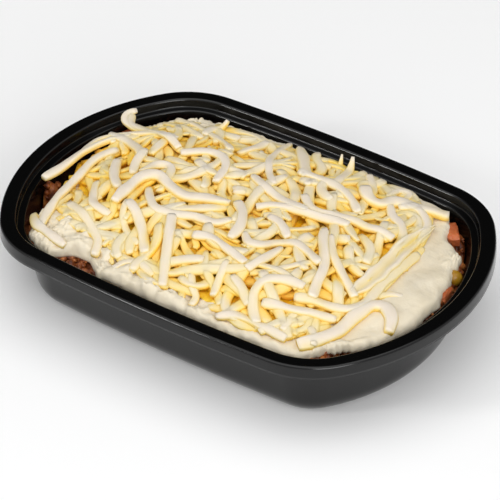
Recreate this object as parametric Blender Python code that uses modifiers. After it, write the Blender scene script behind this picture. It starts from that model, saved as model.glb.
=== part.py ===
"""Mince and mashed potato ready meal with grated cheese, in an oval black plastic tray.

The tray is one thin moulded shell: a downturned skirt, a flat rim, a sealing ledge and a leaning wall
that runs into a flat base. Minced meat with diced carrot and peas fills it, mashed potato lies on the
mince, and a loose heap of grated cheese lies on the potato.

Sizes are in millimetres and meshes are made in metres. The base stands on Z = 0, X is the length,
and the rim's top is at RIM_HEIGHT.
"""
import math

import bmesh
import bpy
import numpy as np

MM = 0.001
PLASTIC_NUMBER = 1.32471795724474602596

# Tray
TRAY_LENGTH = 228.0
TRAY_WIDTH = 158.4
RIM_HEIGHT = 41.6
CORNER_RADIUS = 39.2
END_RADIUS = 101.3
SIDE_RADIUS = 1111.0
TRAY_WALL = 0.6
SKIRT_DROP = 6.14
SKIRT_FLARE = 0.26
RIM_EDGE_RADIUS = 0.8
RIM_INNER_RADIUS = 1.2
RIM_FLAT_END = 6.2
LEDGE_DROP = 4.1
LEDGE_START = 8.0
LEDGE_END = 10.4
LEDGE_RADIUS = 0.9
WALL_LEAN = math.radians(10.1)
FOOT_RADIUS = 13.1
FOOT_STEPS = 4
ROUNDING_STEPS = 2

# Food
GAP = 0.35
HIDDEN_GAP = 0.75
MINCE_HEIGHT = 33.1
CRUMB_SIZE = 5.0
SMALLEST_CRUMB = 3.2
CRUMB_MARGIN = 0.9
CRUMB_SEED = 11
CARROT_SIZE = 7.0
CARROT_SHAPE = (1.7, 0.72, 0.75)
PEA_DIAMETER = 7.5
VEGETABLE_RISE = 0.6
VEGETABLE_CLEARANCE = 6.0
MASH_EDGE_HEIGHT = 38.2
MASH_MIDDLE_HEIGHT = 41.4
MASH_LUMP = 0.5
CHEESE_EDGE = 1.0
CHEESE_RISE = 6.6
CHEESE_SLOPE_WIDTH = 34.0
SHRED_WIDTH = 4.2
SHRED_THICKNESS = 2.4
SHRED_SINK = 1.0
SHRED_STEPS = 5
SHRED_SAMPLES = 4
SHRED_END_WIDTH = 0.55
SHRED_LIFT_SHARE = 0.4
LOOSE_SHREDS = 30
LOOSE_LENGTHS = (26, 42)
LOOSE_BEND = 0.045
LOOSE_MARGIN = 6.0
SHRED_SEED = 18

# Distance from the rim's outer edge to the potato's edge, by direction in degrees
MASH_EDGE = ((0, 14), (8, 15.5), (16, 16.5), (22, 15), (30, 21), (38, 20), (47, 13.8), (60, 13.2),
             (90, 14), (117, 13.2), (125, 16), (140, 18.5), (150, 17), (161, 20), (176, 21), (193, 23),
             (208, 15.5), (222, 15), (233, 19), (241, 14), (270, 13), (314, 13.6), (325, 17.5),
             (334, 16.5), (342, 16), (352, 12.8))

# The same distance to the edge of the packed cheese
CHEESE_OUTLINE = ((0, 38), (20, 34), (35, 28), (50, 17), (90, 18), (125, 21), (145, 23), (180, 23),
                  (200, 25), (214, 25), (223, 32), (235, 24), (250, 21), (270, 18), (315, 17),
                  (325, 23), (336, 30), (348, 36))

# Shreds that reach over the edge of the heap or stand up from it: the name, width, lift of each end,
# and four places along it
PLACED_SHREDS = (
    ("hook", 3.6, 0, 5, (-79, 29), (-86, 31), (-91, 33), (-91, 38)),
    ("left_stub", 4.2, 0, 2, (-84, 12), (-89, 15), (-93, 17), (-97, 19)),
    ("left_edge", 5.0, 0, 0, (-80, 25), (-92, 14), (-94, -6), (-91, -26)),
    ("left_long", 4.6, 0, 0, (-78, 8), (-84, -12), (-82, -34), (-75, -55)),
    ("near_left_edge", 4.8, 0, 0, (-85, -47), (-78, -54), (-69, -57), (-57, -59)),
    ("finger", 4.8, 0, 4, (-54, 42), (-55, 48), (-53, 53), (-51, 57)),
    ("thin_upright", 2.6, 0, 5, (17, 44), (15, 51), (12, 57), (10, 62)),
    ("wide_upright", 4.8, 0, 6, (22, 38), (20, 47), (18, 56), (16, 62)),
    ("curl", 3.6, 0, 0, (43, 49), (44, 58), (49, 59), (50, 50)),
    ("flat_end", 6.5, 0, 2, (40, 41), (48, 48), (60, 51), (71, 58)),
    ("ribbon", 7.5, 0, 0, (69, 38), (70, 15), (73, -12), (69, -29)),
    ("ribbon_turn", 5.0, 0, 0, (74, -22), (69, -29), (61, -34), (51, -38)),
    ("side_strip", 3.4, 0, 0, (74, 30), (76, 12), (77, -8), (75, -27)),
    ("big_loop", 6.0, 0, 0, (94, -29), (88, -18), (79, -24), (77, -40)),
    ("loop_tail", 6.0, 0, 0, (78, -30), (77, -41), (73, -51), (68, -58)),
    ("long_diagonal", 5.0, 0, 0, (-25, -23), (-18, -35), (-10, -47), (-3, -59)),
    ("right_diagonal", 5.0, 0, 0, (38, 6), (48, -9), (55, -22), (59, -36)),
    ("front_band", 5.0, 0, 0, (28, -61), (38, -57), (50, -57), (63, -58)),
    ("front_curl", 5.0, 0, 0, (53, -32), (38, -36), (37, -47), (46, -57)),
    ("near_left_long", 4.5, 0, 0, (-74, -36), (-62, -40), (-50, -46), (-42, -57)),
)

# Corners of a shred's section: side, share of the width and share of the thickness
SHRED_SECTION = ((1, 1.0, 0), (1, 0.6, 1), (-1, 0.6, 1), (-1, 1.0, 0))

# Vegetables that show beside the potato: kind, place, turn in degrees and size against the usual
VEGETABLES = (
    ("carrot", (76, 53.5), -49, 1.15),
    ("carrot", (97, 12.5), -82, 0.95),
    ("carrot", (88, -38), 63, 0.8),
    ("carrot", (-91.8, 34.2), 67, 0.8),
    ("pea", (93.8, 26.2), 0, 1.0),
)


def arc_centres():
    """Centres of the end, corner and side arcs of a quarter of the rim, each tangent to the next."""
    end = np.array([TRAY_LENGTH / 2 - END_RADIUS, 0.0])
    side = np.array([0.0, TRAY_WIDTH / 2 - SIDE_RADIUS])
    to_end = END_RADIUS - CORNER_RADIUS
    to_side = SIDE_RADIUS - CORNER_RADIUS
    span = side - end
    length = np.linalg.norm(span)
    along = (to_end ** 2 - to_side ** 2 + length ** 2) / (2 * length)
    across = math.sqrt(to_end ** 2 - along ** 2)
    direction = span / length
    normal = np.array([-direction[1], direction[0]])
    corner = end + direction * along + normal * across
    return end, corner, side


END_CENTRE, CORNER_CENTRE, SIDE_CENTRE = arc_centres()
END_TO_CORNER = math.atan2(*(CORNER_CENTRE - END_CENTRE)[::-1])
CORNER_TO_SIDE = math.atan2(*(CORNER_CENTRE - SIDE_CENTRE)[::-1])


def rim_loop(end_steps, corner_steps, side_steps):
    """Points round the rim's outer edge and the outward direction at each, anticlockwise from +X."""
    arcs = (
        (END_CENTRE, END_RADIUS, 0.0, END_TO_CORNER, end_steps),
        (CORNER_CENTRE, CORNER_RADIUS, END_TO_CORNER, CORNER_TO_SIDE, corner_steps),
        (SIDE_CENTRE, SIDE_RADIUS, CORNER_TO_SIDE, math.pi / 2, side_steps + 1),
    )
    points = []
    normals = []
    for centre, radius, start, stop, steps in arcs:
        angles = np.linspace(start, stop, steps, endpoint=stop == math.pi / 2)
        unit = np.column_stack([np.cos(angles), np.sin(angles)])
        points.append(centre + radius * unit)
        normals.append(unit)
    quarter = np.concatenate(points)
    facing = np.concatenate(normals)
    forward = slice(0, -1)
    backward = slice(-1, 0, -1)
    turns = (((1, 1), forward), ((-1, 1), backward), ((-1, -1), forward), ((1, -1), backward))
    loop = np.concatenate([quarter[part] * mirror for mirror, part in turns])
    outward = np.concatenate([facing[part] * mirror for mirror, part in turns])
    return loop, outward


def edge_distance(x, y):
    """How far (x, y) lies inside the rim's outer edge, from whichever of the three arcs faces it."""
    x = np.abs(x)
    y = np.abs(y)
    at_end = (np.arctan2(y, x - END_CENTRE[0]) < END_TO_CORNER) & (x > END_CENTRE[0])
    at_side = ~at_end & (np.arctan2(y - SIDE_CENTRE[1], x) > CORNER_TO_SIDE)
    from_end = END_RADIUS - np.hypot(x - END_CENTRE[0], y)
    from_side = SIDE_RADIUS - np.hypot(x, y - SIDE_CENTRE[1])
    from_corner = CORNER_RADIUS - np.hypot(x - CORNER_CENTRE[0], y - CORNER_CENTRE[1])
    return np.where(at_end, from_end, np.where(at_side, from_side, from_corner))


def by_direction(table, x, y):
    """The value that a table of (degrees, value) gives in the direction of (x, y)."""
    degrees, values = zip(*table)
    return np.interp(np.degrees(np.arctan2(y, x)), degrees, values, period=360)


def smooth_step(t):
    """Zero below 0, one above 1, and a soft S between."""
    t = np.clip(t, 0, 1)
    return t * t * (3 - 2 * t)


def cheese_room(x, y):
    """How far (x, y) lies inside the edge of the packed cheese."""
    return edge_distance(x, y) - by_direction(CHEESE_OUTLINE, x, y)


def mash_top(x, y):
    """Height of the potato: a slow rise from its edge to the middle, with soft lumps where it is bare."""
    inside = edge_distance(x, y) - by_direction(MASH_EDGE, x, y)
    rise = smooth_step(inside / 40) * (MASH_MIDDLE_HEIGHT - MASH_EDGE_HEIGHT)
    lumps = np.sin(x / 4.1 + 1.3 * np.sin(y / 7.3)) * np.sin(y / 4.7 + 0.9 * np.sin(x / 6.1))
    bare = smooth_step(-cheese_room(x, y) / 4)
    return MASH_EDGE_HEIGHT + rise + MASH_LUMP * lumps * bare


def heap_top(x, y):
    """Height of the packed cheese, which starts thin at its edge and thickens inwards."""
    rise = CHEESE_RISE * smooth_step(cheese_room(x, y) / CHEESE_SLOPE_WIDTH)
    return mash_top(x, y) + CHEESE_EDGE + rise


def shred_bed(x, y):
    """Height under a shred's rail of points: sunk in the packed cheese, or just clear of the potato.

    Over the potato the bed is the highest one within two points along the rail, so that no straight
    stretch of the shred cuts a lump.
    """
    packed = np.where(cheese_room(x, y) > 0, heap_top(x, y) - SHRED_SINK, 0)
    on_mash = edge_distance(x, y) > by_direction(MASH_EDGE, x, y) - 2
    bare = np.where(on_mash, mash_top(x, y), MASH_EDGE_HEIGHT - 1) + GAP + 0.1
    padded = np.pad(bare, 2, mode="edge")
    bare = np.max([padded[shift:shift + len(bare)] for shift in range(5)], axis=0)
    return np.maximum(packed, bare)


def make_object(name, mesh, collection):
    """A new object in one collection, with smooth shading up to sharp edges."""
    mesh.shade_smooth()
    mesh.set_sharp_from_angle(angle=math.radians(40))
    piece = bpy.data.objects.new(name, mesh)
    collection.objects.link(piece)
    return piece


def loft(name, rings, cap_start, cap_end):
    """A mesh of quads between rings of points in millimetres, with its end rings closed if asked."""
    rings = np.asarray(rings)
    count, around = rings.shape[:2]
    start = np.arange(around)
    following = np.roll(start, -1)
    faces = []
    for ring in range(count - 1):
        low = ring * around
        high = low + around
        faces += np.column_stack([low + start, low + following, high + following, high + start]).tolist()
    if cap_start:
        faces.append(start[::-1].tolist())
    if cap_end:
        faces.append((start + (count - 1) * around).tolist())
    mesh = bpy.data.meshes.new(name)
    mesh.from_pydata((rings.reshape(-1, 3) * MM).tolist(), [], faces)
    return mesh


def ring_at(loop, outward, inset, height):
    """The rim's loop moved inwards by inset, at one height or at a height for each point."""
    flat = loop - outward * np.reshape(inset, (-1, 1))
    return np.column_stack([flat, np.broadcast_to(height, len(flat))])


def foot_rows(margin):
    """Inset and height round the foot of the tray's inner wall, each moved in by margin."""
    radius = FOOT_RADIUS - margin
    floor = TRAY_WALL + margin
    centre_height = floor + radius
    touch_height = centre_height - radius * math.sin(WALL_LEAN)
    touch_inset = wall_inset(touch_height) + margin / math.cos(WALL_LEAN)
    centre_inset = touch_inset + radius * math.cos(WALL_LEAN)
    rows = []
    for angle in np.linspace(WALL_LEAN, math.pi / 2, FOOT_STEPS):
        rows.append((centre_inset - radius * math.cos(angle), centre_height - radius * math.sin(angle)))
    return rows


def flat_rings(loop, outward, inset, steps, scales):
    """Level rings at steps inwards from an edge, then the last of them shrunk to the middle by scales."""
    rings = [ring_at(loop, outward, inset + step, 0) for step in steps]
    return rings + [rings[-1] * (scale, scale, 0) for scale in scales]


def wall_inset(height):
    """Inset of the tray's leaning inner wall at a height."""
    wall_start = RIM_HEIGHT - LEDGE_DROP - LEDGE_RADIUS
    return LEDGE_END + LEDGE_RADIUS + (wall_start - height) * math.tan(WALL_LEAN)


def rounding(inset, height, radius):
    """A quarter circle, from level to upright, that ends radius further in and radius lower."""
    angles = np.linspace(0, math.pi / 2, ROUNDING_STEPS + 1)
    return [(inset + radius * math.sin(a), height - radius * (1 - math.cos(a))) for a in angles]


def plastic(name, colour, roughness):
    """A plain dielectric material."""
    material = bpy.data.materials.new(name)
    material.use_nodes = True
    shader = material.node_tree.nodes["Principled BSDF"]
    shader.inputs["Base Color"].default_value = (*colour, 1.0)
    shader.inputs["Roughness"].default_value = roughness
    shader.inputs["Metallic"].default_value = 0.0
    return material


def build_tray(collection):
    """One moulded sheet: up the skirt, over the rim and ledge, down the wall and across the base."""
    loop, outward = rim_loop(4, 6, 3)
    rows = [(-SKIRT_FLARE, RIM_HEIGHT - SKIRT_DROP)]
    for inset, height in reversed(rounding(0, RIM_HEIGHT, RIM_EDGE_RADIUS)):
        rows.append((RIM_EDGE_RADIUS - inset, height))
    rows += rounding(RIM_FLAT_END, RIM_HEIGHT, RIM_INNER_RADIUS)
    rows += [(LEDGE_START, RIM_HEIGHT - LEDGE_DROP)]
    rows += rounding(LEDGE_END, RIM_HEIGHT - LEDGE_DROP, LEDGE_RADIUS)
    rows += foot_rows(0)
    rings = [ring_at(loop, outward, inset, height) for inset, height in rows]
    tray = make_object("tray", loft("tray", rings, False, True), collection)
    wall = tray.modifiers.new("wall", "SOLIDIFY")
    wall.thickness = TRAY_WALL * MM
    wall.offset = -1
    wall.use_even_offset = True
    tray.data.materials.append(plastic("black_polypropylene", (0.006, 0.006, 0.007), 0.25))


def build_mash(collection):
    """A soft slab with a thick rounded edge, flat underneath where it lies on the mince."""
    loop, outward = rim_loop(5, 7, 4)
    inset = by_direction(MASH_EDGE, loop[:, 0], loop[:, 1])
    bottom = MINCE_HEIGHT + GAP
    swell = MASH_EDGE_HEIGHT - bottom
    rings = [
        ring_at(loop, outward, inset + 0.8, bottom),
        ring_at(loop, outward, inset, bottom + 0.4 * swell),
        ring_at(loop, outward, inset + 1.4, bottom + 0.85 * swell),
    ]
    for flat in flat_rings(loop, outward, inset, (4, 9, 15), (0.72, 0.44, 0.16)):
        flat[:, 2] = mash_top(flat[:, 0], flat[:, 1])
        rings.append(flat)
    mash = make_object("mashed_potato", loft("mashed_potato", rings, True, True), collection)
    mash.data.materials.append(plastic("mashed_potato", (0.75, 0.68, 0.5), 0.6))

    cutters = bpy.data.collections.new("vegetable_cutters")
    bpy.context.scene.collection.children.link(cutters)
    add_vegetables(cutters, "room_for", GAP)
    combine(mash, cutters, "DIFFERENCE", "MANIFOLD")


def lump(name, place, size, turn, subdivisions, roughness, draw):
    """A rough ball: an icosphere with each point moved in or out, squashed, turned and placed."""
    shape = bmesh.new()
    bmesh.ops.create_icosphere(shape, subdivisions=subdivisions, radius=MM / 2)
    cosine = math.cos(turn)
    sine = math.sin(turn)
    for vertex in shape.verts:
        x, y, z = vertex.co * draw.uniform(1 - roughness, 1 + roughness)
        x *= size[0]
        y *= size[1]
        vertex.co = (x * cosine - y * sine + place[0] * MM, x * sine + y * cosine + place[1] * MM,
                     z * size[2] + place[2] * MM)
    mesh = bpy.data.meshes.new(name)
    shape.to_mesh(mesh)
    shape.free()
    return mesh


def dice(name, place, size, turn):
    """A carrot dice: a cube with its edges bevelled, turned and placed."""
    shape = bmesh.new()
    bmesh.ops.create_cube(shape, size=MM)
    bmesh.ops.scale(shape, vec=size, verts=shape.verts)
    bmesh.ops.bevel(shape, geom=shape.edges[:], offset=0.9 * MM, segments=1, affect="EDGES")
    cosine = math.cos(turn)
    sine = math.sin(turn)
    for vertex in shape.verts:
        x, y, z = vertex.co
        vertex.co = (x * cosine - y * sine + place[0] * MM, x * sine + y * cosine + place[1] * MM,
                     z + place[2] * MM)
    mesh = bpy.data.meshes.new(name)
    shape.to_mesh(mesh)
    shape.free()
    return mesh


def combine(core, extras, operation, solver):
    """Join a collection's objects to core or cut them from it, remove them, and keep the one body."""
    boolean = core.modifiers.new("combine", "BOOLEAN")
    boolean.operation = operation
    boolean.operand_type = "COLLECTION"
    boolean.collection = extras
    boolean.solver = solver
    depsgraph = bpy.context.evaluated_depsgraph_get()
    joined = bpy.data.meshes.new_from_object(core.evaluated_get(depsgraph))
    core.modifiers.remove(boolean)
    core.data = joined
    for piece in list(extras.objects):
        bpy.data.objects.remove(piece)
    bpy.data.collections.remove(extras)
    keep_outer_body(joined)
    joined.shade_smooth()
    joined.set_sharp_from_angle(angle=math.radians(40))


def keep_outer_body(mesh):
    """Delete every loose scrap and sealed hollow of a closed mesh, all but the largest body."""
    shape = bmesh.new()
    shape.from_mesh(mesh)
    bmesh.ops.triangulate(shape, faces=shape.faces)
    shape.faces.ensure_lookup_table()
    unseen = set(shape.faces)
    bodies = []
    while unseen:
        stack = [unseen.pop()]
        body = []
        while stack:
            face = stack.pop()
            body.append(face)
            for edge in face.edges:
                for other in edge.link_faces:
                    if other in unseen:
                        unseen.remove(other)
                        stack.append(other)
        bodies.append(body)
    bodies.sort(key=len, reverse=True)
    scraps = [face for body in bodies[1:] for face in body]
    bmesh.ops.delete(shape, geom=scraps, context="FACES")
    shape.to_mesh(mesh)
    shape.free()


def add_vegetables(collection, prefix, margin):
    """The carrot dice and the pea, each larger than life by a margin all round."""
    still = np.random.default_rng(0)
    for index, (kind, place, turn, scale) in enumerate(VEGETABLES):
        name = f"{prefix}_{kind}_{index}"
        spot = (*place, MINCE_HEIGHT + VEGETABLE_RISE)
        if kind == "carrot":
            size = np.array(CARROT_SHAPE) * CARROT_SIZE * scale + 2 * margin
            mesh = dice(name, spot, size, math.radians(turn))
        else:
            size = (PEA_DIAMETER * scale + 2 * margin,) * 3
            mesh = lump(name, spot, size, 0.0, 2, 0.0, still)
        make_object(name, mesh, collection)


def build_mince(collection):
    """The filling, level under the potato, with crumbs, carrot dice and a pea fused on round its edge."""
    loop, outward = rim_loop(4, 6, 3)
    rows = foot_rows(GAP)[::-1]
    rows.append((wall_inset(MINCE_HEIGHT - 1.2) + GAP, MINCE_HEIGHT - 1.2))
    rows.append((wall_inset(MINCE_HEIGHT) + 1.6, MINCE_HEIGHT - 0.2))
    rows.append((wall_inset(MINCE_HEIGHT) + 8.0, MINCE_HEIGHT))
    rings = [ring_at(loop, outward, inset, height) for inset, height in rows]
    mince = make_object("mince_filling", loft("mince_filling", rings, True, True), collection)
    mince.data.materials.append(plastic("minced_meat", (0.16, 0.035, 0.012), 0.45))

    extras = bpy.data.collections.new("mince_pieces")
    bpy.context.scene.collection.children.link(extras)
    add_vegetables(extras, "fused", 0.0)

    draw = np.random.default_rng(CRUMB_SEED)
    for index, (point, facing) in enumerate(zip(*rim_loop(7, 10, 9))):
        free_start = wall_inset(MINCE_HEIGHT) + CRUMB_MARGIN
        free_end = by_direction(MASH_EDGE, *point) - CRUMB_MARGIN
        size = min(CRUMB_SIZE * draw.uniform(0.75, 1.1), free_end - free_start)
        if size < SMALLEST_CRUMB:
            continue
        inset = draw.uniform(free_start + size / 2, free_end - size / 2 + 0.01)
        spot = point - facing * inset
        apart = [np.hypot(*(spot - place)) for kind, place, turn, scale in VEGETABLES]
        if min(apart) < VEGETABLE_CLEARANCE:
            continue
        name = f"crumb_{index}"
        place = (*spot, MINCE_HEIGHT + draw.uniform(-0.4, 0.5))
        shape = (size, size * 0.8, size * 0.8)
        make_object(name, lump(name, place, shape, draw.uniform(0, 3), 1, 0.12, draw), extras)
    combine(mince, extras, "UNION", "EXACT")


def shred_mesh(name, places, width, thickness, lifts):
    """A grated strip with a narrower top, along a cubic through four places and laid on what is below.

    Where t runs from 0 to 1, the path is the cubic that meets the places at t = 0, 1/3, 2/3 and 1.
    The strip narrows at both ends, and an end that has a lift rises as a square over its share of the
    length.
    """
    fine = np.linspace(0, 1, SHRED_SAMPLES * SHRED_STEPS + 1)
    knots = np.array([0, 1, 2, 3]) / 3
    weights = []
    for own in range(4):
        others = [knot for index, knot in enumerate(knots) if index != own]
        weights.append(np.prod([(fine - knot) / (knots[own] - knot) for knot in others], axis=0))
    path = np.array(weights).T @ np.array(places, float)
    along = np.gradient(path, axis=0)
    along /= np.linalg.norm(along, axis=1, keepdims=True)
    across = np.column_stack([-along[:, 1], along[:, 0]])
    fullness = np.sqrt(np.sin(np.pi * np.clip(fine, 0.04, 0.96)))
    half = width / 2 * (SHRED_END_WIDTH + (1 - SHRED_END_WIDTH) * fullness)
    near_start = np.clip(1 - fine / SHRED_LIFT_SHARE, 0, 1)
    near_end = np.clip(1 - (1 - fine) / SHRED_LIFT_SHARE, 0, 1)
    raised = lifts[0] * near_start ** 2 + lifts[1] * near_end ** 2
    corners = []
    for side, narrowing, rise in SHRED_SECTION:
        rail = path + across * (half * side)[:, None]
        bed = shred_bed(rail[:, 0], rail[:, 1])
        place = path + across * (half * side * narrowing)[:, None]
        height = bed + raised + rise * thickness
        corners.append(np.column_stack([place, height])[::SHRED_SAMPLES])
    rings = np.array(corners).transpose(1, 0, 2)
    return loft(name, rings, True, True)


def even_places(count):
    """Middles spread evenly over the packed cheese, by steps of the plastic number's powers."""
    found = []
    index = 0
    while len(found) < count:
        index += 1
        share = np.array([index / PLASTIC_NUMBER, index / PLASTIC_NUMBER ** 2]) % 1
        middle = (share - 0.5) * (TRAY_LENGTH, TRAY_WIDTH)
        if cheese_room(*middle) > LOOSE_MARGIN:
            found.append(middle)
    return found


def loose_path(middle, draw):
    """Four places along an arc round a middle, turned until both its ends lie on the packed cheese."""
    while True:
        heading = draw.uniform(0, math.pi)
        bend = draw.uniform(-LOOSE_BEND, LOOSE_BEND)
        length = draw.uniform(*LOOSE_LENGTHS)
        turned = heading + bend * np.linspace(-0.5, 0.5, 4) * length
        steps = np.column_stack([np.cos(turned), np.sin(turned)]) * length / 3
        path = np.cumsum(steps, axis=0)
        path += middle - path.mean(axis=0)
        if cheese_room(path[:, 0], path[:, 1]).min() > 0:
            return path


def build_cheese(collection):
    """The packed heap with shreds fused on: the placed ones, then loose ones from a seeded rule."""
    loop, outward = rim_loop(5, 7, 4)
    inset = by_direction(CHEESE_OUTLINE, loop[:, 0], loop[:, 1])
    under = ring_at(loop, outward, inset + 0.5, 0)
    inner = flat_rings(loop, outward, inset, (6, 14, 22), (0.68, 0.36, 0.08))
    lower = [under] + inner
    for ring in lower:
        ring[:, 2] = mash_top(ring[:, 0], ring[:, 1]) + HIDDEN_GAP
    upper = [ring_at(loop, outward, inset, 0)] + [ring.copy() for ring in inner]
    for ring in upper:
        ring[:, 2] = heap_top(ring[:, 0], ring[:, 1])
    rings = lower[::-1] + upper
    cheese = make_object("grated_cheese", loft("grated_cheese", rings, True, True), collection)
    cheese.data.materials.append(plastic("grated_cheese", (0.86, 0.72, 0.42), 0.5))

    extras = bpy.data.collections.new("cheese_shreds")
    bpy.context.scene.collection.children.link(extras)
    draw = np.random.default_rng(SHRED_SEED)
    for name, width, start_lift, end_lift, *places in PLACED_SHREDS:
        thickness = SHRED_THICKNESS * draw.uniform(1.15, 1.4)
        make_object(name, shred_mesh(name, places, width, thickness, (start_lift, end_lift)), extras)
    for index, middle in enumerate(even_places(LOOSE_SHREDS)):
        name = f"shred_{index}"
        width = SHRED_WIDTH * draw.uniform(0.85, 1.15)
        thickness = SHRED_THICKNESS * draw.uniform(0.85, 1.35)
        places = loose_path(middle, draw)
        make_object(name, shred_mesh(name, places, width, thickness, (0, 0)), extras)
    combine(cheese, extras, "UNION", "MANIFOLD")


def build():
    """Clear the scene and build the meal from the tray up."""
    for piece in list(bpy.data.objects):
        bpy.data.objects.remove(piece)
    collection = bpy.data.collections.new("ready_meal_tray")
    bpy.context.scene.collection.children.link(collection)
    build_tray(collection)
    build_mince(collection)
    build_mash(collection)
    build_cheese(collection)


build()
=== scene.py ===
import math

import bpy
import numpy as np
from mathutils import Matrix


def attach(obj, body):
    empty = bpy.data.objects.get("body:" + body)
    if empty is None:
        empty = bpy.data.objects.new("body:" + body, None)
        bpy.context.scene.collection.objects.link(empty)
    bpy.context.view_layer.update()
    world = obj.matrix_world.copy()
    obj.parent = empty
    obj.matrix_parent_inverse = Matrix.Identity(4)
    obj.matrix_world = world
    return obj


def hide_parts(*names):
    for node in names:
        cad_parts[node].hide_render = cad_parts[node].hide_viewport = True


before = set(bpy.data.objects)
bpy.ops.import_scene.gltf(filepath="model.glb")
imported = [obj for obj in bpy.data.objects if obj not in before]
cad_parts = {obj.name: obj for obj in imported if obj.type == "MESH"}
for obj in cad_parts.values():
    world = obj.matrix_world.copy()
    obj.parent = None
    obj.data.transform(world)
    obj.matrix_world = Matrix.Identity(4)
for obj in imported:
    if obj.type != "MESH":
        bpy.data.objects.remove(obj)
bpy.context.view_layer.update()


# The tray
# One thin sheet of black polypropylene, vacuum formed in a mould: a downturned skirt, a flat rim, a narrow
# sealing ledge and a leaning wall that runs into the flat base. It is the only hard piece of the meal, and
# everything else lies in it.
MM = 0.001
TRAY_LENGTH = 228.0
TRAY_WIDTH = 158.4
RIM_HEIGHT = 41.6
CORNER_RADIUS = 39.2
END_RADIUS = 101.3
SIDE_RADIUS = 1111.0
TRAY_WALL = 0.6
SKIRT_DROP = 6.14
SKIRT_FLARE = 0.26
RIM_EDGE_RADIUS = 1.3
RIM_FLAT_END = 6.2
RIM_INNER_RADIUS = 1.2
NECK_ANGLE = 1.45
NECK_RADIUS = 0.6
LEDGE_HEIGHT = 37.5
LEDGE_START = 8.35
LEDGE_END = 10.4
LEDGE_RADIUS = 0.9
WALL_LEAN = math.radians(10.1)
FOOT_RADIUS = 13.1

# Steps along the end, corner and side arcs of a quarter of the rim, and the sizes of the base's rings
TRAY_STEPS = (16, 34, 22)
BASE_SHARES = (0.85, 0.6, 0.35, 0.12)


def arc_centres():
    """Centres of the end, corner and side arcs of a quarter of the rim, each tangent to the next."""
    end = np.array([TRAY_LENGTH / 2 - END_RADIUS, 0.0])
    side = np.array([0.0, TRAY_WIDTH / 2 - SIDE_RADIUS])
    to_end = END_RADIUS - CORNER_RADIUS
    to_side = SIDE_RADIUS - CORNER_RADIUS
    span = side - end
    length = np.linalg.norm(span)
    along = (to_end ** 2 - to_side ** 2 + length ** 2) / (2 * length)
    across = math.sqrt(to_end ** 2 - along ** 2)
    direction = span / length
    normal = np.array([-direction[1], direction[0]])
    return end, end + direction * along + normal * across, side


END_CENTRE, CORNER_CENTRE, SIDE_CENTRE = arc_centres()
END_TO_CORNER = math.atan2(*(CORNER_CENTRE - END_CENTRE)[::-1])
CORNER_TO_SIDE = math.atan2(*(CORNER_CENTRE - SIDE_CENTRE)[::-1])


def rim_loop(end_steps, corner_steps, side_steps):
    """Points round the rim's outer edge and the outward direction at each, anticlockwise from +X.

    A quarter is centre + radius * (cos a, sin a) on each of three arcs in turn, and the other quarters
    are its mirror images.
    """
    arcs = (
        (END_CENTRE, END_RADIUS, 0.0, END_TO_CORNER, end_steps),
        (CORNER_CENTRE, CORNER_RADIUS, END_TO_CORNER, CORNER_TO_SIDE, corner_steps),
        (SIDE_CENTRE, SIDE_RADIUS, CORNER_TO_SIDE, math.pi / 2, side_steps + 1),
    )
    points = []
    normals = []
    for centre, radius, start, stop, steps in arcs:
        angles = np.linspace(start, stop, steps, endpoint=stop == math.pi / 2)
        unit = np.column_stack([np.cos(angles), np.sin(angles)])
        points.append(centre + radius * unit)
        normals.append(unit)
    quarter = np.concatenate(points)
    facing = np.concatenate(normals)
    forward = slice(0, -1)
    backward = slice(-1, 0, -1)
    turns = (((1, 1), forward), ((-1, 1), backward), ((-1, -1), forward), ((1, -1), backward))
    loop = np.concatenate([quarter[part] * mirror for mirror, part in turns])
    outward = np.concatenate([facing[part] * mirror for mirror, part in turns])
    return loop, outward


def inset_rings(loop, outward, insets, heights):
    """Rings of points: the loop moved inwards by each inset, at each height."""
    flat = loop[None] - outward[None] * np.reshape(insets, (len(insets), -1, 1))
    high = np.broadcast_to(np.reshape(heights, (len(insets), -1, 1)), (*flat.shape[:2], 1))
    return np.concatenate([flat, high], axis=2)


def arc_rows(inset, height, radius, start, stop, steps):
    """Inset and height along an arc about a centre, where angle 0 points up and a quarter turn inwards."""
    angles = np.linspace(start, stop, steps)
    return np.column_stack([inset + radius * np.sin(angles), height + radius * np.cos(angles)])


def straight_rows(start, stop, steps):
    """Inset and height at steps along a straight run, both its ends left out."""
    share = np.linspace(0, 1, steps + 2)[1:-1, None]
    return np.array(start) * (1 - share) + np.array(stop) * share


def wall_inset(height):
    """Inset of the tray's leaning inner wall at a height."""
    below_ledge = LEDGE_HEIGHT - LEDGE_RADIUS - height
    return LEDGE_END + LEDGE_RADIUS + below_ledge * math.tan(WALL_LEAN)


def foot_rows(margin, steps):
    """Inset and height round the foot of the inner wall, each moved in by margin."""
    radius = FOOT_RADIUS - margin
    centre_height = TRAY_WALL + margin + radius
    touch_height = centre_height - radius * math.sin(WALL_LEAN)
    centre_inset = wall_inset(touch_height) + margin / math.cos(WALL_LEAN) + radius * math.cos(WALL_LEAN)
    return arc_rows(centre_inset, centre_height, -radius, math.pi / 2 - WALL_LEAN, 0, steps)


def loop_faces(rows, around):
    """Quads between closed rings, which lie one after another, each joined to the next."""
    row, column = np.meshgrid(np.arange(rows - 1) * around, np.arange(around), indexing="ij")
    following = (column + 1) % around
    quads = [row + column, row + following, row + around + following, row + around + column]
    return np.stack(quads, axis=-1).reshape(-1, 4)


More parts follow.
